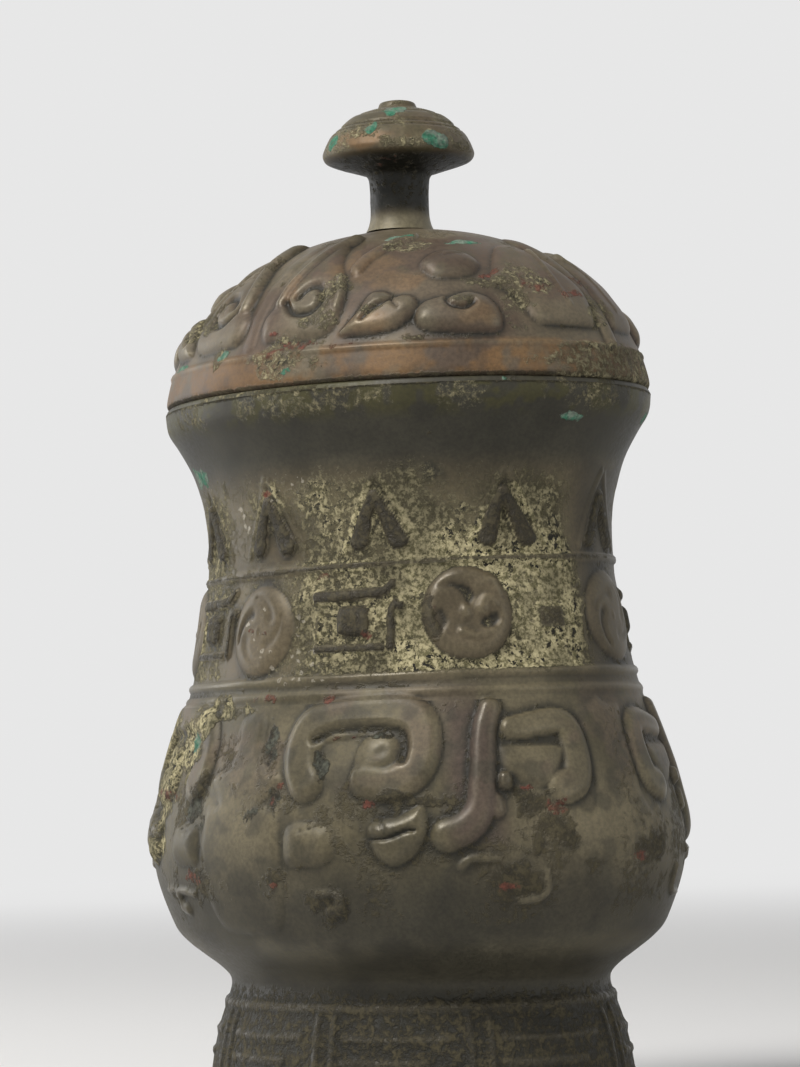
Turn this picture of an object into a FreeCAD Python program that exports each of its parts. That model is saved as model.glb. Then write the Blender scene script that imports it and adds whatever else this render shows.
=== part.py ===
import FreeCAD, Part

import math
import os

# A lidded zhi: an oval bronze cup on a foot ring, with a domed cover and a mushroom knob.
# Millimetres. Z is up from the resting face, X is the long axis of the oval section, and the
# broad faces look along -Y and +Y. Everything is turned round Z first, with its half widths
# along X, and the finished solid is then drawn in along Y.

# Short axis as a share of the long one, the same at every height. Walls are given at the
# narrow ends, and thin in the same share at the broad faces.
SECTION_RATIO = 0.8
WALL = 2.8

# Foot ring
FOOT_BASE_HALF = 40.4
FOOT_BAND = 3.5
FOOT_WAIST_HALF = 35.3
FOOT_TOP = 24.5
FOOT_ROOF = 22.6
FOOT_RIB_Z = 22.0

# Belly, without its raised mask
BELLY_HALF = 49.5
BELLY_Z = 47.6
LEDGE_HALF = 45.2
LEDGE_Z = 33.8
BOWL_FLOOR = 25.6

# Register of whorls and squares, between the ring lines
REGISTER_LOW_HALF = 41.2
REGISTER_HIGH_HALF = 38.2
RIB_RISE = 0.5
RIB_WIDTH = 1.2
LOWER_RIBS = (72.5, 74.9)
UPPER_RIB = 93.3

# Neck and mouth
NECK_HALF = 37.9
NECK_Z = 99.7
RIM_HALF = 45.6
RIM_Z = 122.4
RIM_BAND = 3.2
RIM_WALL = 3.0
RIM_BEVEL = 0.6

# Cover, without its raised mask
COVER_HALF = 45.4
COVER_BEVEL = 0.9
COVER_BAND_TOP_HALF = 44.2
COVER_BAND = 5.5
CROWN_HALF = 6.6
CROWN_Z = 151.6
COVER_WALL = 2.4
TONGUE_DEPTH = 8.0
TONGUE_WALL = 2.0
TONGUE_GAP = 0.5

# Knob
STEM_R = 5.0
CAP_R = 13.0
CAP_EDGE_Z = 164.6
CAP_UNDER_RISE = 3.1
CAP_TOP_Z = 172.8
NUB_R = 3.3
NUB_RISE = 1.5
TENON_R = 3.0
TENON_GAP = 0.05
BUTTON_R = 5.0
BUTTON_T = 1.6

# Raised work. A place on the wall is a station, in degrees of equal arc round the oval from the
# middle of the -Y face towards +X, and a height. The belly's mask is drawn once, in degrees from
# its nose, mirrored about the nose, and repeated on the far side.
MASK_RISE = 1.2
PANEL_RISE = 0.7
FINE_RISE = 0.8
COVER_RISE = 1.3
MASK_AXIS = -2.0
QUARTER = 90.0
NOSE = [
    (0, 69.2), (12, 69.2), (12.2, 60), (6.5, 59.4), (6.5, 55.5), (11, 55), (12.4, 50), (12, 36.5),
    (9, 34.6), (0, 34.6),
]
SIDE_PANEL = [
    (QUARTER, 46), (77.4, 46), (77.4, 53), (82, 53.6), (83.4, 57), (83.2, 69.4), (QUARTER, 69.4),
]
HORN = [
    (13.4, 57), (13.4, 64), (15.4, 68.4), (20, 70), (36, 71), (46, 70.4), (48, 67.4), (47.4, 61.5),
    (44, 58), (37, 56.2), (31, 56.4), (29.6, 59.5), (29.8, 62.5), (33, 64.8), (38, 65), (41, 62.4),
    (41.8, 65), (40, 67), (36, 67.6), (26, 67.2), (20.4, 65.6), (19.2, 62.6), (21.4, 58.6), (21.4, 57),
]
CHEEK = [(14, 45.4), (24, 45.4), (26, 47), (25.6, 50.6), (23, 52.2), (15, 52), (13.4, 50)]
EYE = [
    (33.4, 50.6), (34.6, 47.4), (39, 45.2), (43.4, 46.8), (46.2, 50.6), (45.6, 54), (43.6, 54.4),
    (35, 52.6),
]
BROW_BAR = [
    (48, 51), (48.4, 48.4), (53, 47.8), (58, 49.6), (60, 55), (61.4, 62.5), (63.4, 68.8), (62, 70.2),
    (59.6, 70), (57.4, 65), (55.6, 58), (53.6, 53.4),
]
EAR = [
    (64.5, 66), (68, 68), (74, 69.4), (79.6, 69), (81.6, 65.6), (81.4, 59), (79.6, 55.8), (75, 55),
    (72.8, 57), (76, 59.4), (77.4, 62.4), (77, 64.4), (66, 64.8),
]
JAW = [(52, 45), (59, 46.8), (71, 45), (71.6, 40), (65.4, 38.8), (64.6, 41.2), (55, 43.4)]

WHORL_STATIONS = (-4.5, 56.5, 103, 154, 206, 257, 308)
SQUARE_STATIONS = (26, 79, 128, 180, 232, 283, 330)
TRIANGLE_STATIONS = (-2, 33, 68, 102, 141, 180, 219, 258, 292, 326)
MOTIF_Z = 84.2
WHORL_R = 7.4
WHORL_SIDES = 14
SQUARE_PARTS = [
    [(-4.6, -2.4), (4.6, -2.4), (4.6, 2.5), (-4.6, 2.5)],
    [(-10.8, 3.3), (10.6, 3.9), (10.6, 5.4), (-10.8, 5.0)],
    [(-10.8, -5.0), (8.4, -5.0), (8.4, -3.5), (-10.8, -3.5)],
    [(9.6, -4.4), (11.8, -4.4), (11.6, 2.4), (9.4, 2.4)],
]
TRIANGLE_BASE_Z = 95.6
TRIANGLE = [(-10.2, 0), (-5.6, 0), (-0.4, 7.6), (5.0, 0), (10.2, 0), (0.6, 11.8), (-1.4, 11.8)]

# The cover's mask, in stations as it lies on the front, from its own nose to the narrow end
COVER_NOSE = -1.75
COVER_SIDE = 96.5
COVER_TILT = 40.0
COVER_BROW = [(0.6, 131), (3, 130), (22, 130), (25.4, 136), (22, 142), (17, 146.4), (10, 142.6), (6, 138)]
COVER_LEAF = [(27, 130), (40, 130.2), (45.4, 133.6), (44, 136), (36, 137.2), (33, 136.6), (30, 133.6)]
COVER_BEAN = [(46.4, 131), (49, 129.8), (64, 129.6), (66, 131.6), (63.4, 135.6), (58, 137), (48, 134.2)]
COVER_BOSS = [(47.6, 141.4), (52, 139.8), (62, 139.8), (66, 141.8), (61, 144.2), (51, 143.8)]
COVER_CHEEK = [
    (66, 137.4), (70.6, 136), (74.6, 131), (91.4, 131), (94.8, 136.4), (90, 143.4), (80, 145.2),
    (70, 142),
]

Z_AXIS = FreeCAD.Vector(0, 0, 1)
ORIGIN = FreeCAD.Vector(0, 0, 0)

# Spare length that a flat cut takes off, and how far a form's prism reaches into and out of the wall
SPARE = 1.0
REACH = 6.0

FOOT = [
    (FOOT_BASE_HALF, -SPARE),
    (FOOT_BASE_HALF, FOOT_BAND),
    (FOOT_BASE_HALF - 1.8, FOOT_BAND + 10.1),
    (FOOT_WAIST_HALF + 0.9, FOOT_RIB_Z - RIB_WIDTH / 2),
]
BELLY = [
    (FOOT_WAIST_HALF, FOOT_TOP),
    (FOOT_WAIST_HALF + 0.6, FOOT_TOP + 1.8),
    (FOOT_WAIST_HALF + 3.8, FOOT_TOP + 4.2),
    (LEDGE_HALF - 2.9, LEDGE_Z - 2.8),
    (LEDGE_HALF, LEDGE_Z),
    (BELLY_HALF - 1.6, LEDGE_Z + 5.7),
    (BELLY_HALF - 0.1, BELLY_Z - 2.0),
    (BELLY_HALF, BELLY_Z + 2.2),
    (BELLY_HALF - 1.9, BELLY_Z + 10.3),
    (BELLY_HALF - 4.6, BELLY_Z + 18.2),
    (REGISTER_LOW_HALF + 1.4, LOWER_RIBS[0] - RIB_WIDTH / 2),
]
REGISTER = [
    (REGISTER_LOW_HALF, LOWER_RIBS[1] + RIB_WIDTH / 2),
    (REGISTER_LOW_HALF - 2.0, LOWER_RIBS[1] + 10.4),
    (REGISTER_HIGH_HALF, UPPER_RIB - RIB_WIDTH / 2),
]
NECK = [
    (NECK_HALF + 0.2, UPPER_RIB + RIB_WIDTH / 2),
    (NECK_HALF, NECK_Z + 1.4),
    (NECK_HALF + 1.3, NECK_Z + 8.3),
    (NECK_HALF + 3.8, NECK_Z + 13.8),
    (RIM_HALF - 0.5, RIM_Z - RIM_BAND - 0.4),
]
BOWL = [
    (FOOT_WAIST_HALF - 5.0, BOWL_FLOOR),
    (FOOT_WAIST_HALF + 1.0, BOWL_FLOOR + 3.0),
    (LEDGE_HALF - WALL - 2.4, LEDGE_Z - 0.8),
    (BELLY_HALF - WALL - 1.7, LEDGE_Z + 6.4),
    (BELLY_HALF - WALL, BELLY_Z - 0.6),
    (BELLY_HALF - WALL - 1.5, BELLY_Z + 8.0),
    (BELLY_HALF - WALL - 4.0, BELLY_Z + 16.6),
    (REGISTER_LOW_HALF - WALL, LOWER_RIBS[1]),
    (REGISTER_HIGH_HALF - WALL, UPPER_RIB),
    (NECK_HALF - WALL + 0.1, NECK_Z + 3.0),
    (NECK_HALF - WALL + 2.5, NECK_Z + 11.0),
    (RIM_HALF - RIM_WALL - 0.5, RIM_Z - 3.4),
    (RIM_HALF - RIM_WALL, RIM_Z),
]
FOOT_HOLLOW = [
    (FOOT_BASE_HALF - WALL, -SPARE),
    (FOOT_BASE_HALF - WALL, 0.0),
    (FOOT_BASE_HALF - WALL - 1.9, FOOT_BAND + 9.0),
    (FOOT_WAIST_HALF - WALL + 1.2, FOOT_ROOF - 3.0),
    (FOOT_WAIST_HALF - WALL - 0.3, FOOT_ROOF),
]
DOME = [
    (COVER_BAND_TOP_HALF, RIM_Z + COVER_BAND),
    (COVER_BAND_TOP_HALF - 1.8, RIM_Z + 9.2),
    (COVER_BAND_TOP_HALF - 4.0, RIM_Z + 12.7),
    (COVER_BAND_TOP_HALF - 8.2, RIM_Z + 17.3),
    (COVER_BAND_TOP_HALF - 14.8, RIM_Z + 22.2),
    (COVER_BAND_TOP_HALF - 22.3, RIM_Z + 25.6),
    (COVER_BAND_TOP_HALF - 30.0, RIM_Z + 27.8),
    (CROWN_HALF, CROWN_Z),
]
CAVITY_DOME = [
    (COVER_BAND_TOP_HALF - COVER_WALL, RIM_Z + COVER_BAND),
    (COVER_BAND_TOP_HALF - COVER_WALL - 3.4, RIM_Z + 11.6),
    (COVER_BAND_TOP_HALF - COVER_WALL - 8.8, RIM_Z + 17.0),
    (COVER_BAND_TOP_HALF - COVER_WALL - 17.0, RIM_Z + 21.9),
    (COVER_BAND_TOP_HALF - COVER_WALL - 28.0, RIM_Z + 25.4),
    (CROWN_HALF, CROWN_Z - COVER_WALL),
]


def at(half, z):
    return FreeCAD.Vector(half, 0, z)


def turned(profile):
    """Turn a profile of (half width, height) points round Z, closed along the axis."""
    closed = [(0, profile[0][1])] + profile + [(0, profile[-1][1])]
    corners = [at(*point) for point in closed + closed[:1]]
    return Part.Face(Part.makePolygon(corners)).revolve(ORIGIN, Z_AXIS, 360)


def drawn_in(shape):
    squash = FreeCAD.Matrix()
    squash.scale(1, SECTION_RATIO, 1)
    return shape.transformGeometry(squash)


def outer_profile():
    """Outer profile of the vessel, from the resting face up to the mouth."""
    foot_rib = (FOOT_WAIST_HALF + 0.4 + RIB_RISE, FOOT_RIB_Z)
    foot_rib_top = (FOOT_WAIST_HALF + 0.2, FOOT_RIB_Z + RIB_WIDTH / 2)
    low_first, low_second = LOWER_RIBS
    valley_half = (BELLY[-1][0] + REGISTER[0][0]) / 2
    lower_ribs = [
        (valley_half + 0.6 + RIB_RISE, low_first),
        (valley_half, (low_first + low_second) / 2),
        (valley_half - 0.5 + RIB_RISE, low_second),
    ]
    upper_rib = (REGISTER_HIGH_HALF + RIB_RISE, UPPER_RIB)
    lip = [(RIM_HALF, RIM_Z - RIM_BEVEL), (RIM_HALF - RIM_BEVEL, RIM_Z)]
    lower = FOOT + [foot_rib, foot_rib_top] + BELLY + lower_ribs
    return lower + REGISTER + [upper_rib] + NECK + lip


def oval_angle_table():
    """Ellipse angles and the station that each has, in degrees of equal arc."""
    steps = 720
    angles = [2 * math.pi * index / steps - math.pi / 2 for index in range(steps + 1)]
    lengths = [0.0]
    for low, high in zip(angles, angles[1:]):
        middle = (low + high) / 2
        lengths.append(lengths[-1] + math.hypot(math.sin(middle), SECTION_RATIO * math.cos(middle)))
    return angles, [360 * length / lengths[-1] for length in lengths]


ANGLES, STATIONS = oval_angle_table()
# Length round an oval one unit in half width
STATION_GIRTH = 2 * math.pi * math.sqrt((1 + SECTION_RATIO ** 2) / 2)


def between(value, known, wanted):
    """Read a table of two lists along straight lines."""
    for index in range(len(known) - 1):
        low, high = sorted((known[index], known[index + 1]))
        if low <= value <= high:
            share = (value - known[index]) / (known[index + 1] - known[index])
            return wanted[index] + share * (wanted[index + 1] - wanted[index])
    raise ValueError("off the table: " + str(value))


def on_wall(profile, station, z):
    half = between(z, [point[1] for point in profile], [point[0] for point in profile])
    angle = between(station % 360, STATIONS, ANGLES)
    return FreeCAD.Vector(half * math.cos(angle), half * math.sin(angle), z)


def form(profile, outline, tilt=0.0):
    """A prism through the wall, under an outline of (station, height) points drawn on it."""
    corners = [on_wall(profile, station, z) for station, z in outline]
    middle = FreeCAD.Vector(0, 0, 0)
    for corner in corners:
        middle = middle + corner * (1 / len(corners))
    level = FreeCAD.Vector(middle.x, middle.y, 0).normalize()
    away = level * math.cos(math.radians(tilt)) + Z_AXIS * math.sin(math.radians(tilt))
    flat = [corner - away * ((corner - middle).dot(away) + REACH) for corner in corners]
    return Part.Face(Part.makePolygon(flat + flat[:1])).extrude(away * (2 * REACH))


def raised(profile, rise, lift, prisms):
    """What the prisms leave of the wall moved out by a rise."""
    grown = turned([(half + rise, z + lift) for half, z in profile])
    return grown.common(Part.makeCompound(prisms))


def across(outline, axis):
    """An outline that ends on an axis, completed by its mirror image."""
    return outline + [(2 * axis - station, z) for station, z in reversed(outline[1:-1])]


def all_round(outline):
    """Both hands of a mask's outline, on both broad faces."""
    copies = []
    for half_turn in (0, 180):
        copies.append([(MASK_AXIS + half_turn + station, z) for station, z in outline])
        copies.append([(MASK_AXIS + half_turn - station, z) for station, z in outline])
    return copies


def mask_prisms(wall):
    prisms = []
    for outline in (HORN, CHEEK, EYE, BROW_BAR, EAR, JAW):
        prisms += [form(wall, copy) for copy in all_round(outline)]
    return prisms


def panel_prisms(wall):
    panels = []
    for start in (MASK_AXIS, MASK_AXIS + 180):
        panels.append([(start + station, z) for station, z in across(NOSE, 0)])
        panels.append([(start + station, z) for station, z in across(SIDE_PANEL, QUARTER)])
    return [form(wall, panel) for panel in panels]


def register_prisms(wall):
    prisms = []
    per_mm = 360 / (STATION_GIRTH * (REGISTER_LOW_HALF + REGISTER_HIGH_HALF) / 2)
    for middle in WHORL_STATIONS:
        turns = [2 * math.pi * side / WHORL_SIDES for side in range(WHORL_SIDES)]
        disc = [(middle + WHORL_R * per_mm * math.cos(a), MOTIF_Z + WHORL_R * math.sin(a)) for a in turns]
        prisms.append(form(wall, disc))
    for middle in SQUARE_STATIONS:
        for piece in SQUARE_PARTS:
            prisms.append(form(wall, [(middle + side, MOTIF_Z + up) for side, up in piece]))
    for middle in TRIANGLE_STATIONS:
        prisms.append(form(wall, [(middle + side, TRIANGLE_BASE_Z + up) for side, up in TRIANGLE]))
    return prisms


def cover_prisms(wall):
    """The front's outlines as they are, mirrored and drawn in on its other hand, and both again."""
    near, far = COVER_NOSE + 40, COVER_SIDE
    prisms = []
    for outline in (COVER_BROW, COVER_LEAF, COVER_BEAN, COVER_BOSS, COVER_CHEEK):
        for half_turn in (0, 180):
            prisms.append([(station + half_turn, z) for station, z in outline])
            hand = [COVER_NOSE, near, far]
            place = [COVER_NOSE + 180, COVER_NOSE + 140, COVER_SIDE]
            prisms.append([(between(station, hand, place) + half_turn, z) for station, z in outline])
    return [form(wall, outline, COVER_TILT) for outline in prisms]


def vessel_body():
    """Foot ring, belly, neck and mouth: one casting."""
    profile = outer_profile()
    body = turned(profile)
    relief = [
        raised(profile, MASK_RISE, 0.0, mask_prisms(profile)),
        raised(profile, PANEL_RISE, 0.0, panel_prisms(profile)),
        raised(profile, FINE_RISE, 0.0, register_prisms(profile)),
    ]
    body = body.fuse(relief).cut([turned(BOWL), turned(FOOT_HOLLOW)])
    under = Part.makeBox(4 * BELLY_HALF, 4 * BELLY_HALF, SPARE + 1)
    under.translate(FreeCAD.Vector(-2 * BELLY_HALF, -2 * BELLY_HALF, -SPARE - 1))
    return drawn_in(body).cut(under)


def cover():
    """Domed cover with its rim band, and the tongue that stands in the mouth."""
    edge = [(COVER_HALF - COVER_BEVEL, RIM_Z), (COVER_HALF, RIM_Z + COVER_BEVEL)]
    shell = turned(edge + DOME)
    relief = raised(DOME, 0.75 * COVER_RISE, 0.75 * COVER_RISE, cover_prisms(DOME))
    flare = (BOWL[-2][0] - BOWL[-3][0]) / (BOWL[-2][1] - BOWL[-3][1])
    top_half = RIM_HALF - RIM_WALL - TONGUE_GAP
    bend_z = BOWL[-2][1]
    bend_half = BOWL[-2][0] - TONGUE_GAP
    tip_z = RIM_Z - TONGUE_DEPTH
    tip_half = bend_half - (bend_z - tip_z) * flare
    tongue_profile = [(tip_half, tip_z), (bend_half, bend_z), (top_half, RIM_Z)]
    tongue_inside = [(half - TONGUE_WALL, z) for half, z in tongue_profile]
    tongue_inside[0] = (tip_half - TONGUE_WALL, tip_z)
    cavity = turned(tongue_inside + CAVITY_DOME)
    hollow_cover = drawn_in(shell.fuse([turned(tongue_profile), relief]).cut(cavity))
    hole_r = TENON_R + TENON_GAP
    hole = Part.makeCylinder(hole_r, 4 * COVER_WALL, at(0, CROWN_Z - 2 * COVER_WALL))
    return hollow_cover.cut(hole)


def knob():
    """Mushroom knob with a nub, its stem, and the tenon and button that hold it in the crown."""
    under_z = CAP_EDGE_Z - CAP_UNDER_RISE
    button_top = CROWN_Z - COVER_WALL
    button = [(BUTTON_R, button_top - BUTTON_T), (BUTTON_R, button_top), (TENON_R, button_top)]
    stem = [(TENON_R, CROWN_Z), (STEM_R + 0.7, CROWN_Z), (STEM_R, CROWN_Z + 2.2), (STEM_R, under_z)]
    cap = [
        (CAP_R - 1.0, CAP_EDGE_Z - 0.8),
        (CAP_R, CAP_EDGE_Z),
        (CAP_R - 0.3, CAP_EDGE_Z + 1.2),
        (CAP_R - 2.0, CAP_EDGE_Z + 4.1),
        (CAP_R - 5.0, CAP_EDGE_Z + 6.7),
        (NUB_R, CAP_TOP_Z),
    ]
    nub = [(NUB_R - 0.8, CAP_TOP_Z + 1.1), (0.8, CAP_TOP_Z + NUB_RISE)]
    return turned(button + stem + cap + nub)


os.makedirs("parts", exist_ok=True)
for name, shape in (("vessel_body", vessel_body()), ("cover", cover()), ("knob", knob())):
    solids = shape.Solids
    if len(solids) == 1:
        shape = solids[0]
    print(name, shape.isValid(), len(solids), round(shape.Volume), shape.BoundBox)
    shape.exportStep("parts/" + name + ".step")
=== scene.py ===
import math

import bpy
import numpy as np
from mathutils import Matrix, Vector


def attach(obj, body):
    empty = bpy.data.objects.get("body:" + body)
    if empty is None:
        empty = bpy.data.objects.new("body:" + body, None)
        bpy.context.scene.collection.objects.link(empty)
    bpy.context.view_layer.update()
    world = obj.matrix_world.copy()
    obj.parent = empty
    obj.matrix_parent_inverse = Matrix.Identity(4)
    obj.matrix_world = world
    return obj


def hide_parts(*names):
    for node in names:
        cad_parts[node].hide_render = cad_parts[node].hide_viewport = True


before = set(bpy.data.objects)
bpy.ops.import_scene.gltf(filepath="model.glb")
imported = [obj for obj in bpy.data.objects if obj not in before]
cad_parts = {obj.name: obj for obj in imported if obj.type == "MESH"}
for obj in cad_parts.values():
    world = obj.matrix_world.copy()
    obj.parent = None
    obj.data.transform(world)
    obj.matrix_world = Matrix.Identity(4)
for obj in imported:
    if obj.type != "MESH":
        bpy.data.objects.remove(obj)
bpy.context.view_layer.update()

# The vessel is written in millimetres and turned into metres when a mesh is made. A place on its
# wall is a station, in degrees of equal arc from the middle of the -Y face towards +X, and a
# height. Half widths are half of the oval section's long axis.
MM = 0.001
RATIO = 0.8
LIP_Z = 121.6
RIM_Z = 122.4
BAND_TOP_Z = 127.9
NECK_SEAM_Z = 94.6
REGISTER_SEAM_Z = 71.0
BELLY_SEAM_Z = 28.0
LOWER_LINES_Z = (72.5, 75.1)
UPPER_LINE_Z = 93.3

# Wall profiles, (height, half width), without the raised work
OUTSIDE = [
    (0.0, 40.4), (3.5, 40.2), (9.6, 39.3), (13.6, 38.6), (17.6, 37.6), (20.6, 36.5), (23.2, 35.5),
    (24.5, 35.2), (25.9, 35.5), (27.6, 37.3), (29.6, 40.2), (31.6, 43.0), (33.5, 45.0), (35.6, 46.2),
    (39.6, 47.9), (43.6, 49.1), (47.6, 49.5), (51.6, 49.1), (55.6, 48.1), (59.6, 47.0), (63.6, 45.6),
    (67.7, 44.1), (71.7, 42.6), (75.7, 41.3), (79.7, 40.3), (83.7, 39.5), (87.7, 38.8), (91.7, 38.1),
    (95.7, 37.9), (99.7, 37.85), (103.7, 38.2), (107.7, 39.15), (111.7, 40.7), (115.7, 43.1),
    (118.0, 44.7), (119.6, 45.3), (LIP_Z, 45.5),
]
LID = [
    (RIM_Z, 44.5), (123.3, 45.3), (125.8, 44.8), (BAND_TOP_Z, 44.1), (129.9, 43.1), (132.0, 42.0),
    (134.1, 40.7), (136.1, 39.1), (138.2, 37.3), (140.2, 35.2), (142.3, 32.6), (144.4, 29.5),
    (146.4, 25.5), (148.5, 20.2), (150.0, 14.8), (151.1, 9.0), (151.6, 5.5),
]
MOUTH_RIM = [(LIP_Z, 45.5), (122.2, 45.2), (122.4, 44.8), (122.4, 43.1), (122.2, 42.7), (121.4, 42.4)]
BOWL = [
    (121.4, 42.9), (116.0, 40.0), (108.0, 36.3), (97.7, 35.1), (75.0, 38.8), (58.6, 44.8), (46.6, 47.0),
    (35.0, 43.2), (27.0, 34.0), (25.6, 30.4), (25.6, 0.5),
]
FOOT_EDGE = [(0.0, 40.4), (0.0, 37.8)]
FOOT_SKIRT = [(1.0, 37.5), (12.5, 35.6), (21.6, 32.4), (22.6, 31.0), (22.6, 0.5)]
LID_INSIDE = [
    (149.2, 6.6), (144.0, 26.2), (136.0, 36.5), (127.9, 41.8), (122.4, 40.1), (114.6, 36.5),
    (114.4, 37.2), (115.0, 38.6), (121.8, 42.0), (122.3, 42.6), (RIM_Z, 44.5),
]
KNOB = [
    (151.6, 5.9), (153.0, 5.3), (155.0, 5.0), (159.0, 5.05), (161.3, 5.5), (162.2, 7.5), (163.2, 10.6),
    (163.9, 12.4), (164.7, 12.95), (165.7, 12.8), (167.9, 11.7), (169.7, 9.9), (171.3, 8.0),
    (172.4, 5.2), (172.8, 3.6), (173.2, 3.3), (173.9, 2.9), (174.25, 1.6), (174.3, 0.3),
]
BUTTON = [(147.6, 0.3), (147.6, 4.6), (147.8, 5.0), (149.0, 5.0), (149.2, 4.7), (149.2, 3.0)]


def arc_table():
    """Ellipse angles, their stations, and the perimeter of an oval one unit in half width."""
    angle = np.linspace(-math.pi / 2, 1.5 * math.pi, 4097)
    middle = (angle[1:] + angle[:-1]) / 2
    step = np.hypot(np.sin(middle), RATIO * np.cos(middle)) * (angle[1] - angle[0])
    length = np.concatenate([[0.0], np.cumsum(step)])
    return angle, length / length[-1] * 360, length[-1]


ANGLES, STATIONS, UNIT_PERIMETER = arc_table()


def spline(points, steps, closed=False):
    """Points along a smooth curve through the given ones."""
    p = np.array(points, float)
    if closed:
        p = np.vstack([p[-1:], p, p[:2]])
    else:
        p = np.vstack([2 * p[:1] - p[1:2], p, 2 * p[-1:] - p[-2:-1]])
    t = np.linspace(0, 1, steps, endpoint=False)[:, None]
    runs = []
    for a, b, c, d in zip(p, p[1:], p[2:], p[3:]):
        runs.append(b + 0.5 * t * (c - a + t * (2 * a - 5 * b + 4 * c - d + t * (3 * (b - c) + d - a))))
    if not closed:
        runs.append(p[-2:-1])
    return np.vstack(runs)


def even_rows(points, spacing, low=None, high=None):
    """(height, half width) rows at an even spacing along a smooth profile, or along a part of it."""
    dense = spline(points, 24)
    along = np.concatenate([[0.0], np.cumsum(np.hypot(*np.diff(dense, axis=0).T))])
    start, stop = 0.0, along[-1]
    if low is not None:
        start, stop = np.interp([low, high], dense[:, 0], along)
    stops = np.linspace(start, stop, int((stop - start) / spacing) + 2)
    return np.stack([np.interp(stops, along, dense[:, 0]), np.interp(stops, along, dense[:, 1])], 1)


# Noise on places in space. Each octave is half the size of the last, and this share of its strength
OCTAVE_SHARE = 0.55


def lattice(ix, iy, iz, seed):
    n = ix * 374761393 + iy * 668265263 + iz * 1440662683 + seed * 69069
    n = (n ^ (n >> 13)) * 1274126177
    n = n ^ (n >> 16)
    return (n & 0xFFFF) / 65535.0


def noise(place, size, seed):
    """Smooth value noise from 0 to 1 with cells of a size in mm."""
    p = place / size + 1000.0
    cell = np.floor(p).astype(np.int64)
    f = p - cell
    f = f * f * (3 - 2 * f)
    total = 0.0
    for corner in range(8):
        step = (corner & 1, (corner >> 1) & 1, (corner >> 2) & 1)
        weight = 1.0
        for axis in range(3):
            weight = weight * (f[..., axis] if step[axis] else 1 - f[..., axis])
        total = total + weight * lattice(*(cell[..., axis] + step[axis] for axis in range(3)), seed)
    return total


def rough_noise(place, size, seed, octaves=4):
    """Noise from 0 to 1 with finer octaves added."""
    total, share = 0.0, 0.0
    for octave in range(octaves):
        weight = OCTAVE_SHARE ** octave
        total = total + weight * noise(place, size / 2 ** octave, seed + 17 * octave)
        share += weight
    return total / share


def ramp(value, low, high):
    """From 0 at low to 1 at high, smoothly."""
    t = np.clip((value - low) / (high - low), 0, 1)
    return t * t * (3 - 2 * t)


def centred(station, middle):
    """Stations counted from a middle, -180 to 180."""
    return np.mod(station - middle + 180, 360) - 180


def folded(station, axis):
    """Stations folded about a mask's axis and its other axis a quarter turn on."""
    return np.abs(np.mod(station - axis + 90, 180) - 90) + axis


TINY = 1e-9


def off_segment(px, pz, a, b):
    """Distance from a line that runs from a to b, and the share of it where that is measured."""
    run = b - a
    t = np.clip(((px - a[0]) * run[0] + (pz - a[1]) * run[1]) / (run @ run + TINY), 0, 1)
    return np.hypot(px - a[0] - t * run[0], pz - a[1] - t * run[1]), t


def outline_distance(px, pz, corners):
    """Signed distance to a closed outline, negative inside it."""
    best = np.full(px.shape, np.inf)
    inside = np.zeros(px.shape, bool)
    for a, b in zip(corners, np.roll(corners, -1, axis=0)):
        best = np.minimum(best, off_segment(px, pz, a, b)[0])
        crosses = (a[1] > pz) != (b[1] > pz)
        run = b - a
        slope = run[0] / (run[1] if abs(run[1]) > TINY else TINY)
        inside ^= crosses & (px < a[0] + (pz - a[1]) * slope)
    return np.where(inside, -best, best)


# How far a spot's outline strays, as a share of its half size, or of 4 mm in a bigger spot
SPOT_STRAY = 1.9
STRAY_SIZE = 4
# How far past an outline its surroundings reach, in mm up and twice that in degrees of station
MARGIN = 3
# Where round the oval the lines that run off level are at their own height
LEVEL_STATION = 35


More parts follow.
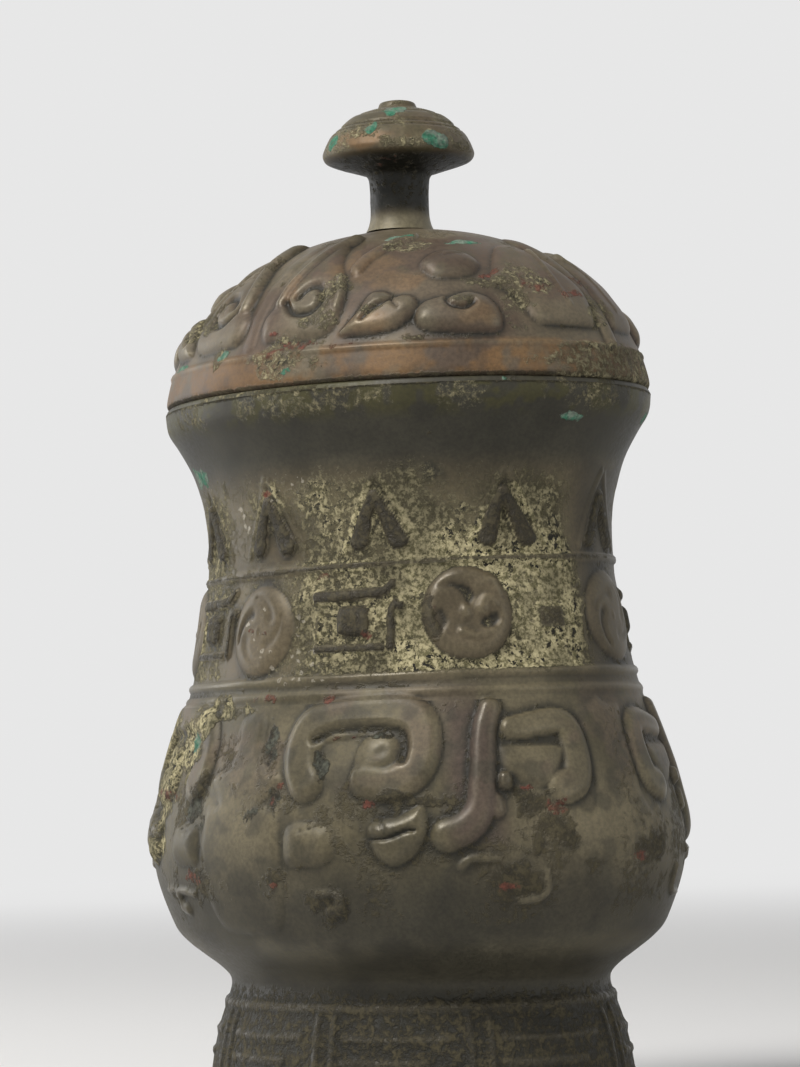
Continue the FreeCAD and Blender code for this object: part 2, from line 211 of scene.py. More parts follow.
class Wall:
    """Rows of a profile by columns round the oval, with a height of relief at every point."""

    def __init__(self, rows, columns, ratio=RATIO):
        self.z = np.repeat(rows[:, :1], columns, axis=1)
        self.half = np.repeat(rows[:, 1:], columns, axis=1)
        station = np.linspace(0, 360, columns, endpoint=False)
        self.station = np.repeat(station[None, :], len(rows), axis=0)
        angle = np.interp(station, STATIONS, ANGLES) if ratio != 1 else np.radians(station - 90)
        self.cos, self.sin = np.cos(angle)[None, :], np.sin(angle)[None, :]
        self.ratio = ratio
        rise = np.gradient(rows[:, 0])[:, None]
        spread = np.gradient(rows[:, 1])[:, None]
        normal = np.stack([
            ratio * self.cos * rise, self.sin * rise, -ratio * spread * np.ones_like(self.cos)], -1)
        self.normal = normal / np.linalg.norm(normal, axis=-1, keepdims=True)
        self.per_degree = self.half * UNIT_PERIMETER / 360
        self.h = np.zeros(self.z.shape)
        self.crisp = 0.6
        self.stray = None

    def bare(self):
        return np.stack([self.half * self.cos, self.ratio * self.half * self.sin, self.z], -1)

    def places(self):
        return self.bare() + self.normal * self.h[..., None]

    def window(self, station, points):
        """Grid points near an outline, and both in mm about the outline's middle."""
        middle = (points[:, 0].max() + points[:, 0].min()) / 2
        low, high = points.min(0) - MARGIN, points.max(0) + MARGIN
        index = np.nonzero(
            (station > low[0] - MARGIN) & (station < high[0] + MARGIN)
            & (self.z > low[1]) & (self.z < high[1]))
        px = (station[index] - middle) * self.per_degree[index]
        order = np.argsort(self.z[:, 0])
        scale = np.interp(points[:, 1], self.z[order, 0], self.per_degree[order, 0])
        corners = np.stack([(points[:, 0] - middle) * scale, points[:, 1]], 1)
        return index, px, self.z[index], corners

    def inner(self, station, outline):
        """Grid points near a closed outline and how far inside it each lies."""
        index, px, pz, corners = self.window(station, spline(outline, 5, closed=True))
        return index, -outline_distance(px, pz, corners) if len(px) else px

    def swell(self, share):
        """Height across a rounded edge: a quarter circle, or a gentler wave where less crisp."""
        t = np.clip(share, 0, 1)
        return self.crisp * np.sqrt(t * (2 - t)) + (1 - self.crisp) * np.sin(t * math.pi / 2)

    def raised(self, station, outline, height, edge, sink=0.0):
        """A plateau with a rounded edge. A sink takes it that far down again at its middle."""
        index, inner = self.inner(station, outline)
        lift = height * self.swell(inner / edge) - sink * ramp(inner, edge * 0.9, edge * 2.4)
        self.h[index] = np.maximum(self.h[index], lift)

    def mask(self, station, outline, edge):
        """Weight of 1 inside an outline, down to 0 at its edge."""
        weight = np.zeros(self.z.shape)
        index, inner = self.inner(station, outline)
        weight[index] = ramp(inner, 0, edge)
        return weight

    def cut(self, station, outline, depth, edge):
        """A hollow with sloping sides."""
        index, inner = self.inner(station, outline)
        self.h[index] -= depth * ramp(inner, 0, edge)

    def along(self, station, path, width):
        """Grid points near a path: 1 on it and 0 at its half width, given once or at both ends."""
        first, last = width if isinstance(width, tuple) else (width, width)
        index, px, pz, corners = self.window(station, spline(path, 6))
        best = np.zeros(px.shape)
        count = len(corners) - 1
        for number in range(count if len(px) else 0):
            distance, t = off_segment(px, pz, corners[number], corners[number + 1])
            best = np.maximum(best, 1 - distance / (first + (last - first) * (number + t) / count))
        return index, best

    def stroke(self, station, path, width, height, broad=1.0):
        """A rounded raised line, flatter on top the broader it is."""
        index, near = self.along(station, path, width)
        self.h[index] = np.maximum(self.h[index], height * self.swell(near * broad))

    def groove(self, station, path, width, depth):
        index, near = self.along(station, path, width)
        self.h[index] -= depth * ramp(near, 0, 1)

    def ring(self, z, width, height, drift=0.0):
        """A raised line all round, off level by a drift, or a groove where the height is negative."""
        level = z + drift * np.sin(np.radians(self.station - LEVEL_STATION))
        near = np.clip(1 - np.abs(self.z - level) / width, 0, 1)
        line = height * self.swell(near)
        self.h = np.maximum(self.h, line) if height > 0 else self.h + line

    def spots(self, places):
        """Weight of 1 in the middle of each (station, height, half length, half height) in mm."""
        if self.stray is None:
            bare = self.bare()
            self.stray = [SPOT_STRAY * (rough_noise(bare, 3.5, seed, 3) - 0.5) for seed in (101, 131)]
        weight = np.zeros(self.z.shape)
        for station, z, across, up in places:
            side = centred(self.station, station) * self.per_degree
            side = side + self.stray[0] * min(across, STRAY_SIZE)
            rise = self.z - z + self.stray[1] * min(up, STRAY_SIZE)
            weight = np.maximum(weight, 1 - np.hypot(side / across, rise / up))
        return weight

    def hollow(self, passes):
        """How far each point lies under the mean of its surroundings."""
        mean = self.h.copy()
        for _ in range(passes):
            mean = (mean + np.roll(mean, 1, 1) + np.roll(mean, -1, 1)) / 3
            wide = np.pad(mean, ((1, 1), (0, 0)), mode="edge")
            mean = (wide[:-2] + mean + wide[2:]) / 3
        return mean - self.h


# The mask on the belly, drawn from its nose to the narrow end and folded on to the rest
MASK_AXIS = -2.0
NOSE = [
    (-8, 69.6), (0, 69.8), (2.6, 68.4), (3.0, 63.0), (5.2, 60.9), (8.6, 60.2), (9.6, 58.6), (7.6, 57.2),
    (5.5, 55.2), (9.4, 54.6), (10.2, 51), (10.6, 45), (10.2, 40), (9.2, 36.6), (6.5, 34.6), (0, 34.0),
    (-8, 34.0), (-12, 50),
]
HORN_BAND = [
    (16.2, 58.6), (14.8, 61), (14.8, 64.4), (17.4, 67.4), (24, 68.6), (33, 69.0), (40.6, 68.8), (43.4, 66.6),
    (43.4, 62.6), (41, 59.6), (36, 58.0), (31, 58.6),
]
HORN_COIL = [
    (27.8, 59), (28.2, 62.6), (30.6, 65.4), (35, 66), (38.2, 64.8), (38.8, 62), (37, 59.6), (33, 58.2),
    (29.4, 57.6),
]
CHEEK = [
    (11.6, 46.5), (11.5, 50), (13, 51.8), (18, 52.3), (22.5, 51.5), (24, 49), (23.8, 46.8), (21.5, 45.3),
    (16, 44.9), (12.8, 45.2),
]
EYE = [
    (31.5, 50.5), (32.2, 48), (34, 46), (37, 45), (40.5, 46), (43, 48), (44.3, 50.5), (44.2, 53),
    (43.3, 54.6), (41, 54), (38, 53), (34.5, 52.5), (32, 51.8),
]
BAR = [(59.6, 69.4), (58, 66.6), (57, 63), (56.2, 58), (55, 53.6), (52, 50.9), (48.2, 49.7)]
EAR_BAND = [(64, 66.2), (69, 66.8), (75, 67.2), (77.6, 65.6), (78, 61.4), (76.6, 58), (73.6, 56.9)]
EAR_INSIDE = [
    (60, 63.3), (62, 63.9), (70, 63.7), (75, 63.3), (74.6, 61), (73, 58.9), (70, 57), (65, 57.5),
    (63, 58.5), (60.3, 59.5),
]
SIDE_PANEL = [
    (75.3, 45.6), (75, 50), (75.7, 53.6), (79, 52.8), (81.2, 56), (81.4, 62), (81, 67), (80.4, 69.7),
    (84, 70), (92, 70), (92, 45), (82, 44.9),
]
KNOT = [(59.3, 57), (59.6, 59.3), (61.8, 59.6), (62.6, 58), (61.4, 56.6)]
LOBE = [(57.2, 52.5), (57.4, 55.6), (59, 56.4), (60.3, 55), (60, 52.6)]
CLAW = [
    (19, 41.5), (25.3, 41.3), (25.7, 38), (24, 37), (20.8, 36.9), (20.4, 38.6), (22.8, 39.4),
    (22.5, 40.2), (19, 40.3),
]


def belly_mask(wall):
    s = folded(wall.station, MASK_AXIS)
    wall.crisp = 0.25
    wall.raised(s, NOSE, 0.4, 1.8)
    wall.raised(s, SIDE_PANEL, 0.4, 2.0)
    wall.raised(s, HORN_COIL, 0.95, 3.0)
    wall.stroke(s, HORN_BAND, (3.5, 3.1), 1.05, 1.7)
    path = [(18, 65.0), (22, 66.3), (28, 66.7), (35, 66.7), (38.8, 66), (40, 64), (39.4, 61.6)]
    wall.groove(s, path, 1.2, 0.8)
    wall.cut(s, [(32.4, 62.4), (35, 61.6), (37.2, 62.8), (35.4, 64.6)], 0.25, 1.6)
    wall.raised(s, CHEEK, 0.95, 3.4)
    wall.groove(s, [(15.8, 50.7), (17.2, 50.9), (18.6, 51.2)], (0.2, 0.4), 0.3)
    wall.raised(s, EYE, 1.25, 2.2)
    wall.groove(s, [(32, 49.4), (36, 49.5), (40, 50.6), (41.6, 50.6)], 0.6, 0.9)
    wall.groove(s, [(34.4, 52.2), (35.2, 51), (35.8, 50)], 0.3, 0.4)
    wall.crisp = 0.4
    wall.stroke(s, BAR, (1.9, 2.8), 1.15, 1.3)
    wall.stroke(s, EAR_BAND, (2.0, 2.9), 0.95, 1.6)
    wall.crisp = 0.25
    wall.raised(s, EAR_INSIDE, 0.6, 2.0)
    wall.raised(s, KNOT, 1.2, 0.9)
    wall.raised(s, LOBE, 0.8, 1.0)
    wall.stroke(s, [(50.8, 44.8), (53, 46), (58.6, 46)], (0.9, 0.6), 0.6)
    wall.stroke(s, [(63.6, 39.3), (67.4, 39.6), (69, 41), (68.4, 43.8)], (0.8, 0.6), 0.6)
    wall.raised(s, CLAW, 0.6, 0.9)
    wall.groove(s, [(-10, 33.6), (30, 33.6), (60, 33.7), (95, 33.6)], 0.55, 0.25)
    fangs = centred(wall.station, 0)
    for middle in (-30.4, -23.6):
        wall.cut(fangs, [(middle - 2.6, 39.7), (middle + 2.4, 39.9), (middle + 0.6, 36.4)], 0.8, 1.3)
    wall.stroke(fangs, [(-35, 41), (-28, 41), (-20, 40.4)], 0.7, 0.45)


# The register of whorls (station, height) and squares (station, how far worn away), and the
# neck's triangles (station)
WHORLS = ((-4.5, 83.3), (56.5, 84.9), (103, 84.5), (154, 84.3), (206, 84.2), (257, 84.4), (308, 84))
SQUARES = ((26, 0), (79, 0.55), (128, 0.1), (180, 0), (232, 0.2), (283, 0.4), (330, 0.1))
WHORL_WIDE = 11.8
WHORL_HIGH = 7.5
SQUARE_Z = 84.0
TRIANGLES = (-2, 33, 68, 102, 141, 180, 219, 258, 292, 326)


def ellipse(station, z, across, up, count=12):
    """An oval outline round a place, half as long as across, in degrees, and half as high as up."""
    turns = [2 * math.pi * number / count for number in range(count)]
    return [(station + across * math.cos(a), z + up * math.sin(a)) for a in turns]


def about(z, points):
    return [(side, z + up) for side, up in points]


def whorl(wall, middle, z, number):
    """A domed disc with a boss, and hollow commas that follow each other round it."""
    s = centred(wall.station, middle)
    wall.groove(s, ellipse(0, z, WHORL_WIDE + 0.6, WHORL_HIGH + 0.4, 25), 0.7, 0.3)
    wall.raised(s, ellipse(0, z, WHORL_WIDE, WHORL_HIGH), 0.95, 2.8)
    stretch = WHORL_WIDE / WHORL_HIGH
    for arm in range(4):
        start = math.radians(35 + 29 * number + arm * 90 + 11 * math.sin(2.7 * arm + number))
        path = []
        for step in range(5):
            a = start + 0.30 * step
            r = 3.4 + 0.55 * step
            path.append((r * stretch * math.cos(a), z + r * math.sin(a)))
        wall.groove(s, path, (1.5, 0.5), 0.27 + 0.15 * math.sin(1.9 * arm + 3 * number))
    wall.raised(s, ellipse(-0.4, z - 0.2, 2.0, 1.4, 8), 1.12, 1.3)


FRONT_HOLLOWS = (
    ([(-8, 4.0), (-4, 5.6), (1.6, 4.4), (2.4, 2.2), (0, 0.9), (-2.6, 3.2)], 0.55),
    ([(2.6, -1.8), (5, -0.2), (8.2, 0.4), (9, -1.6), (5.6, -3.2)], 0.55),
    ([(-9.6, 0), (-6, 1.2), (-4.4, -1.6), (-7.4, -3.8)], 0.45),
)
FRONT_PADS = (
    ([(4.0, 0.6), (5.4, 2.2), (7.4, 1.2)], (1.9, 1.2), 1.45),
    ([(3.4, 4.4), (6.4, 5.0), (8.6, 2.8)], (1.9, 1.0), 1.3),
    ([(-1.6, -3.2), (2.6, -4.0), (6.8, -3.0)], (1.3, 1.0), 1.35),
)


def front_whorl(wall, middle, z):
    """The best kept disc, with thick curved pads between hollows."""
    s = centred(wall.station, middle)
    wall.groove(s, ellipse(0, z, WHORL_WIDE + 0.7, WHORL_HIGH + 0.6, 25), 0.8, 0.4)
    wall.raised(s, ellipse(0, z, WHORL_WIDE, WHORL_HIGH + 0.2), 1.2, 2.0, sink=0.4)
    for outline, depth in FRONT_HOLLOWS:
        wall.cut(s, about(z, outline), depth, 1.0)
    wall.raised(s, ellipse(-0.4, z, 2.6, 1.9, 8), 1.35, 1.7)
    for path, width, height in FRONT_PADS:
        wall.stroke(s, about(z, path), width, height)


BOSS = [
    (-4.8, 0.2), (-4.4, 2.0), (-3, 2.6), (3, 2.6), (4.8, 2.0), (5, -1.2), (4.2, -2.4), (-3, -2.3),
    (-4.6, -1.6),
]
SQUARE_TOP = [(-10.8, 4.2), (-4, 4.3), (5, 4.5), (9, 4.9), (11.2, 6)]
SQUARE_BASE = [(-10.8, -4.3), (-4, -4.3), (5, -4.3), (8.2, -4.3)]
SQUARE_HOOK = [(10.4, -4.3), (10.6, -1), (10.6, 1.2), (11.6, 2.6), (13.2, 2.4)]
SQUARE_END = [(-10.6, -4), (-10.8, -1.5), (-10.4, 1)]


def square(wall, middle, z, worn):
    """A boss between broken bars. Where it is worn, little more than its bars' shadow is left."""
    s = centred(wall.station, middle)
    keep = 1 - worn
    wall.raised(s, about(z, BOSS), 1.05 * keep, 1.5)
    wall.stroke(s, about(z, SQUARE_TOP), (1.2, 0.85), 0.75 * keep)
    wall.stroke(s, about(z, SQUARE_BASE), 0.8, 0.6 * keep)
    wall.stroke(s, about(z, SQUARE_HOOK), 0.8, 0.75 * keep)
    wall.stroke(s, about(z, SQUARE_END), 0.7, 0.35)


def triangle(wall, middle):
    """A pointed blade: thin lines outside, thick dark legs with round feet, and a drop between."""
    s = centred(wall.station, middle)
    wall.stroke(s, [(-9.8, 95.8), (-5.8, 101.6), (-0.8, 108.0)], 0.7, 0.27)
    wall.stroke(s, [(12.4, 95.6), (6.8, 101.6), (0.8, 107.6)], 0.7, 0.27)
    wall.stroke(s, [(-0.8, 104.4), (-3.0, 101.0), (-4.8, 97.2)], (1.0, 1.8), 0.75, 1.4)
    wall.stroke(s, [(-0.6, 104.4), (2.6, 101.0), (5.8, 97.2)], (1.0, 1.9), 0.75, 1.4)
    wall.raised(s, ellipse(-5.2, 96.9, 2.9, 1.5, 8), 0.8, 1.2)
    wall.raised(s, ellipse(6.2, 96.9, 3.2, 1.5, 8), 0.8, 1.2)
    wall.groove(s, [(-0.4, 100.8), (0.6, 98.8), (0.8, 96.6)], (1.4, 0.8), 0.2)


def register_and_neck(wall):
    wall.crisp = 0.6
    wall.ring(LOWER_LINES_Z[0], 0.7, 0.35, 0.3)
    wall.ring(LOWER_LINES_Z[1], 0.75, 0.5, 0.6)
    wall.ring(UPPER_LINE_Z, 0.8, 0.45, 0.9)
    for number, (middle, z) in enumerate(WHORLS):
        if number == 1:
            front_whorl(wall, middle, z)
        else:
            whorl(wall, middle, z, number)
    for middle, worn in SQUARES:
        square(wall, middle, SQUARE_Z, worn)
    for middle in TRIANGLES:
        triangle(wall, middle)
    wall.groove(centred(wall.station, 45), [(-4, 104.2), (0, 100.6), (3.6, 97)], 0.45, 0.3)


# Three level bars and the two upright ones beside them, with half widths
FOOT_BARS = (
    ([(-18, 17.2), (-4, 17.0), (12, 17.2)], 0.7),
    ([(-18, 13.4), (-6, 13.3), (6, 13.4)], 0.7),
    ([(-18, 9.2), (0, 9.0), (18, 9.2)], 0.7),
    ([(18, 20.4), (18.2, 15), (18, 9.2)], 0.8),
    ([(-21.4, 20.4), (-21.4, 15), (-21.2, 9.4)], 0.8),
)
FOOT_FIRST = -8
FOOT_STEP = 45


def foot_work(wall):
    """The worn band on the foot ring: groups of bars between two lines, eight times round."""
    wall.ring(22.0, 0.9, 0.45, 0.3)
    wall.ring(5.2, 0.8, 0.35)
    for middle in range(FOOT_FIRST, FOOT_FIRST + 360, FOOT_STEP):
        s = centred(wall.station, middle)
        for path, width in FOOT_BARS:
            wall.stroke(s, path, width, 0.4)


# The mask on the lid, from its nose to the narrow end of the oval
CURL = [
    (1.2, 133.6), (2.4, 131.0), (5, 130.1), (12, 129.9), (20, 130), (23.8, 131.4), (25.4, 134.6),
    (25.2, 138), (23.6, 140.6), (21, 143.4), (19.6, 147.4), (16.6, 147), (12, 144.6), (8.4, 141.8),
    (6, 138.6), (3, 136),
]
CURL_RIDGE = [(5.6, 136.4), (6.6, 139.2), (9.4, 142.4), (13.4, 145.2), (19, 147.4)]
CURL_GROOVE = [
    (11.2, 137.2), (13.6, 138.6), (16.8, 138.6), (18.8, 137.2), (18.4, 135.2), (15.4, 134.1), (11, 134.4),
    (7.8, 136.2),
]
LEAF = [
    (25.6, 130.1), (27.6, 132), (30, 133.9), (32, 136.2), (34, 137.1), (37, 137), (38.6, 136.4),
    (39.8, 135.9), (42, 136.3), (44.6, 135.8), (45.7, 134.4), (44.8, 133), (42.8, 131.8), (40, 130.6),
    (36, 130), (30, 129.8),
]
BEAN = [
    (44.9, 133.4), (44.8, 131.2), (47, 130.1), (52, 129.6), (60, 129.4), (64.4, 129.7), (65.9, 131.4),
    (65.6, 133.6), (64, 135.3), (61.6, 136.1), (58.6, 136.5), (55, 136.2), (51, 135.6), (47.4, 134.9),
]
BEAN_GROOVE = [(60.4, 137), (56, 136.2), (53, 135.2), (53.6, 133.8), (57, 133.3), (59.4, 134.2)]
LID_EYE = [
    (47.4, 141.6), (49.4, 143.0), (53, 144), (59, 144.4), (63.8, 143.6), (65.9, 141.9), (63.6, 140.3),
    (59.6, 139.4), (54, 139.1), (49.8, 139.8),
]
LID_CHEEK = [
    (65.6, 137.6), (68, 137.3), (70.4, 136.2), (72.4, 134), (73.8, 131.8), (75.6, 130.9), (83, 130.8),
    (91, 130.9), (92.6, 132), (93.8, 134), (95.4, 137), (93, 141), (88, 144.4), (80, 145.6), (73, 143.8),
    (68.6, 140.8),
]
UNDER_CHEEK = [
    (74.4, 131.6), (76, 129.2), (80, 128.4), (90, 128.4), (92.2, 130), (92, 131.2), (84, 130.6),
    (77, 130.6),
]


LID_AXIS = -1.75
LID_SIDE = 96.5


def lid_design(station):
    """Stations on the lid's mask: as seen on the front, mirrored and drawn in on the far side."""
    turned_by = [0, LID_SIDE - LID_AXIS, 140, 180]
    return np.interp(np.mod(station - LID_AXIS, 180), turned_by, [LID_AXIS, LID_SIDE, 38.25, LID_AXIS])


def lid_mask(wall):
    s = lid_design(wall.station)
    wall.crisp = 0.7
    field = ramp(wall.z, BAND_TOP_Z - 0.1, BAND_TOP_Z + 0.7) * (1 - ramp(wall.z, 136, 142))
    wall.h -= 0.45 * field
    wall.raised(s, CURL, 1.0, 2.4)
    wall.stroke(s, CURL_RIDGE, (1.5, 1.2), 1.35)
    wall.groove(s, CURL_GROOVE, (1.3, 1.0), 0.85)
    wall.stroke(s, [(23.9, 134.8), (24.2, 137.6), (22.8, 139.9)], 0.9, 1.2)
    wall.raised(s, LEAF, 1.35, 2.1)
    wall.groove(s, [(31.6, 132.3), (34.6, 133.9), (37, 134.7), (38.8, 135.4)], (0.8, 0.5), 0.75)
    wall.groove(s, [(39.2, 136.2), (39, 134.9), (40.6, 133.8)], 0.35, 0.5)
    wall.raised(s, BEAN, 1.45, 2.6)
    wall.groove(s, BEAN_GROOVE, (0.5, 1.0), 0.85)
    wall.raised(s, LID_EYE, 1.3, 2.8)
    wall.groove(s, [(55.6, 142.8), (59, 143.2), (61.8, 143.4)], 0.5, 0.35)
    wall.raised(s, LID_CHEEK, 1.2, 2.6)
    wall.cut(s, UNDER_CHEEK, 0.9, 0.9)
    wall.stroke(s, [(85.4, 134), (85.2, 139), (87, 143.6)], (1.2, 0.8), 1.45)
    wall.stroke(s, [(27, 141.6), (30, 143.8), (38, 146.4), (48, 148)], (1.2, 0.8), 0.6)
    wall.stroke(s, [(LID_SIDE, 128.6), (LID_SIDE, 134), (LID_SIDE, 146)], 1.9, 0.75)
    wall.stroke(s, [(LID_AXIS, 130), (LID_AXIS, 140), (LID_AXIS, 147)], 1.4, 0.25)
    wall.groove(s, [(26, 129.7), (31, 129.3), (36, 129.4), (40, 130)], 0.6, 0.5)
    wall.groove(s, [(46, 129.6), (55, 128.9), (62, 128.8), (66, 129.6)], 0.6, 0.45)
    wall.ring(BAND_TOP_Z, 0.55, 0.3)


# Making meshes
def object_from(name, places):
    rows, columns = places.shape[:2]
    mesh = bpy.data.meshes.new(name)
    mesh.vertices.add(rows * columns)
    mesh.vertices.foreach_set("co", (places.reshape(-1, 3) * MM).astype(np.float32).ravel())
    row = np.arange(rows - 1)[:, None] * columns
    column = np.arange(columns)[None, :]
    after = (column + 1) % columns
    quads = np.stack([row + column, row + after, row + columns + after, row + columns + column], -1)
    quads = quads.reshape(-1, 4)
    mesh.loops.add(quads.size)
    mesh.loops.foreach_set("vertex_index", quads.ravel().astype(np.int32))
    mesh.polygons.add(len(quads))
    mesh.polygons.foreach_set("loop_start", np.arange(0, quads.size, 4, dtype=np.int32))
    mesh.update(calc_edges=True)
    mesh.polygons.foreach_set("use_smooth", np.ones(len(quads), bool))
    mesh.update()
    made = bpy.data.objects.new(name, mesh)
    bpy.context.scene.collection.objects.link(made)
    return made


def paint(made, layers):
    """Store what the patina and the painted shade need to know at every point."""
    shape = layers["tone"].shape[:2]
    for name, values in layers.items():
        if name == "tone":
            colour = np.concatenate([values, np.ones(shape + (1,))], -1).astype(np.float32)
            layer = made.data.attributes.new(name, "FLOAT_COLOR", "POINT")
            layer.data.foreach_set("color", colour.ravel())
        else:
            values = np.broadcast_to(np.clip(values, 0, 1), shape).astype(np.float32)
            layer = made.data.attributes.new(name, "FLOAT", "POINT")
            layer.data.foreach_set("value", values.ravel())


def dress(made, body, slot, material, node):
    made.data.materials.append(material)
    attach(made, body)
    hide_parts(node)


# Patina, and dark tones that also paint shade. Colours are what the surface reflects
OLIVE = (0.072, 0.061, 0.034)
TAUPE = (0.122, 0.103, 0.062)
SMOKE_AND_SHADE = (0.036, 0.033, 0.023)
MAUVE = (0.100, 0.076, 0.052)
PLUM = (0.066, 0.046, 0.038)
LID_BROWN = (0.078, 0.054, 0.036)
LID_TAUPE = (0.108, 0.088, 0.057)
TAN = (0.128, 0.082, 0.043)
BAND_TAN = (0.135, 0.076, 0.031)
BROWN = (0.088, 0.068, 0.040)
MOSS = (0.046, 0.042, 0.015)
DUSK = (0.026, 0.025, 0.018)
STAIN = (0.098, 0.086, 0.046)
SOOT_AND_SHADE = (0.010, 0.010, 0.007)
STONE = (0.185, 0.163, 0.105)


def mixed(base, *coats):
    """A tone with coats of (tone, share) laid over it in turn."""
    for other, share in coats:
        share = np.clip(share, 0, 1)[..., None]
        base = base * (1 - share) + np.array(other) * share
    return base


def layers_for(places, first, second, size, seed):
    """A patina of two tones in soft clouds, with no other matter on it yet."""
    cloud = rough_noise(places, size, seed)
    tone = mixed(np.broadcast_to(first, places.shape), (second, ramp(cloud, 0.36, 0.64)))
    none = np.zeros(places.shape[:2])
    return {"tone": tone} | dict.fromkeys(("crust", "dirt_and_shade", "red", "green", "blue", "speck", "worn"), none)


def between(value, low, high, soft):
    """1 from low to high, with soft ends."""
    return ramp(value, low - soft, low + soft) * (1 - ramp(value, high - soft, high + soft))


# Spots of the patina: (station, height, half length, half height), the last two in mm
EDGE_CRUST = (
    (-30, 64, 9, 9), (-38, 60, 8, 13), (-12, 70.6, 7, 2.6), (-21, 69, 7, 4), (-46, 66, 7, 9), (-40, 47, 6, 4),
    (150, 66, 8, 5), (214, 62, 9, 8), (250, 45, 8, 5),
)
BLUE_SPOTS = (
    (20, 61.6, 3.4, 3.8), (5, 65, 1.6, 4), (2.5, 53, 1.8, 2), (-18, 54, 5, 4), (9, 56, 3, 2.4),
    (33, 65.3, 3.4, 0.8), (158, 62, 4, 4), (202, 62, 4, 4),
)
ROUGH_SPOTS = (
    (69, 50, 6.2, 6.4), (66, 55, 4, 3), (42, 55.4, 8, 1.8), (62, 42, 8, 5), (22, 39, 6, 3.5),
    (-15, 42, 6, 4), (98, 48, 8, 5), (-18, 57, 4, 4), (9, 42, 3, 4), (250, 50, 9, 7), (140, 44, 8, 5),
    (222, 40, 9, 5), (300, 58, 7, 6),
)
RED_SPOTS = (
    (71, 54, 3.4, 2), (66, 57, 1.8, 1), (33, 55, 3.4, 1.2), (20.5, 72, 2.6, 1.2), (-19, 43, 3.6, 1.8),
    (16, 91.5, 2.4, 1), (9, 41.5, 2, 1.6), (60, 41.6, 2, 1), (3, 72, 5, 1.4), (25, 65.5, 3, 0.7),
    (-7.2, 83.5, 1.3, 0.8), (10, 58, 1.6, 1.6), (-2, 82.6, 1.8, 0.9), (30, 82, 1.6, 1),
    (49, 86, 0.9, 0.7), (-36, 57, 6, 1.4), (92, 46, 2.4, 1.6), (8, 55.4, 1, 1.4), (246, 52, 5, 2.4),
    (222, 41, 4, 2), (140, 45, 4, 2), (150, 90, 4, 2), (195, 60, 3, 2), (-2, 106, 3, 1),
)
GREEN_SPOTS = (
    (-38, 110, 5, 3), (118, 118, 4, 2), (83, 116.5, 3, 1.6), (212, 52, 3, 2), (-24, 65, 4, 2),
    (200, 108, 4, 2),
)
SPECK_SPOTS = (
    (9, 81, 7, 6), (-4, 82, 6, 5), (10, 76, 8, 2.4), (-14, 102, 4, 4), (86, 103, 1.6, 1.6),
    (4, 107, 6, 3),
)
NECK_STAIN = ((48, 108, 3.4, 2.2),)
WHORL_CRUST = ((47, 83.6, 2.6, 5),)


